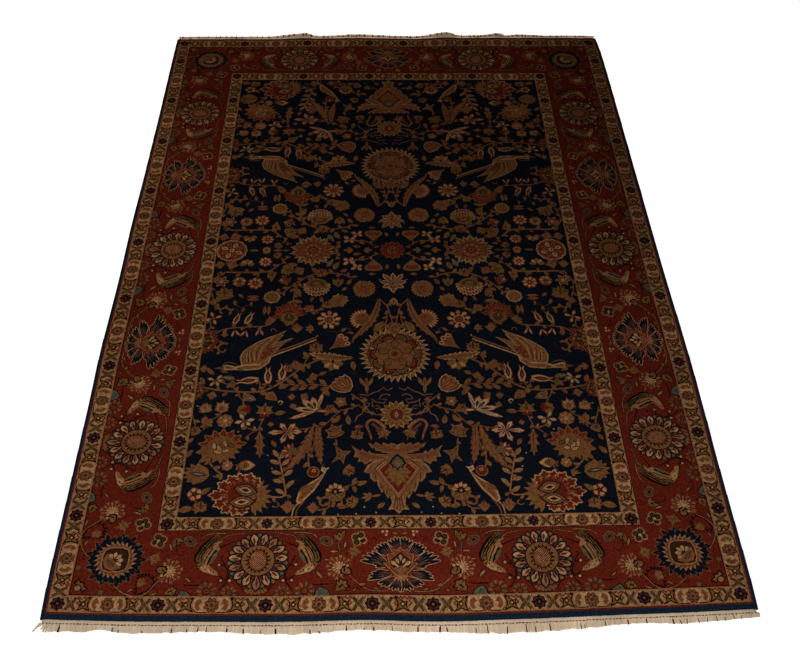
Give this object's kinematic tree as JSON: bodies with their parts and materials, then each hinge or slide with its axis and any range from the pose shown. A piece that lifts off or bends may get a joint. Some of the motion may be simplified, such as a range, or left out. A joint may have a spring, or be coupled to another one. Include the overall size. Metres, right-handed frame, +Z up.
{
  "type": "persian rug",
  "caption": "Flat hand-knotted floral wool rug, longer than wide, with flat-woven end bands, overcast side cords and a short cotton fringe at both ends.",
  "frame": {"origin": "middle of the whole rug's box, at floor level, on the rug's underside", "axes": "+X across the rug, +Y along it from the near end to the far end, +Z up out of the pile"},
  "size_m": [2.488, 3.6426, 0.028],
  "materials": {
    "wool_pile": "short clipped wool pile in madder red, indigo navy, camel, cream, rose and sage",
    "wool_overcast": "navy wool wrapped round the side cords",
    "cotton_warp": "undyed cotton, flat-woven bands and knotted warp ends, greyed with age"
  },
  "bodies": {
    "root": {"carpet": "wool_pile", "side_cord_left": "wool_overcast", "side_cord_right": "wool_overcast", "fringe_near": "cotton_warp", "fringe_far": "cotton_warp"}
  },
  "joints": []
}
